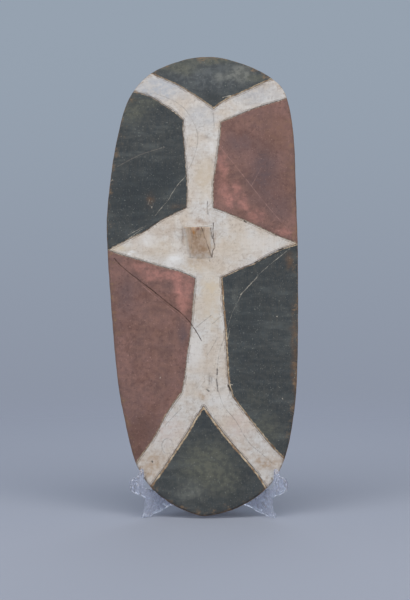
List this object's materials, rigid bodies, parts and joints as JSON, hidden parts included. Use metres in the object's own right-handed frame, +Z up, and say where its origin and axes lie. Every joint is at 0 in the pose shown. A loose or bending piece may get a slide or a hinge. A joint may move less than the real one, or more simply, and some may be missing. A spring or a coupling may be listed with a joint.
{
  "type": "painted wooden dance shield in a clear plate easel",
  "caption": "Oval carved wooden dance shield, painted with a pale diamond and forked spine between dark and red fields, with a boss and a back grip, in a clear plastic easel.",
  "frame": {"origin": "on the ground under the middle of the bounding box", "axes": "+Z up, the longest extent; -Y is the side the painted face looks to; +X is the viewer's right"},
  "size_m": [0.2362, 0.1562, 0.5619],
  "materials": {
    "painted_wood": "matte earth paint on knife-carved wood, worn at the rim",
    "clear_plastic": "clear glossy moulded polystyrene"
  },
  "bodies": {
    "root": {"shield": "painted_wood", "easel_bracket_left": "clear_plastic", "easel_bracket_right": "clear_plastic"}
  },
  "joints": []
}
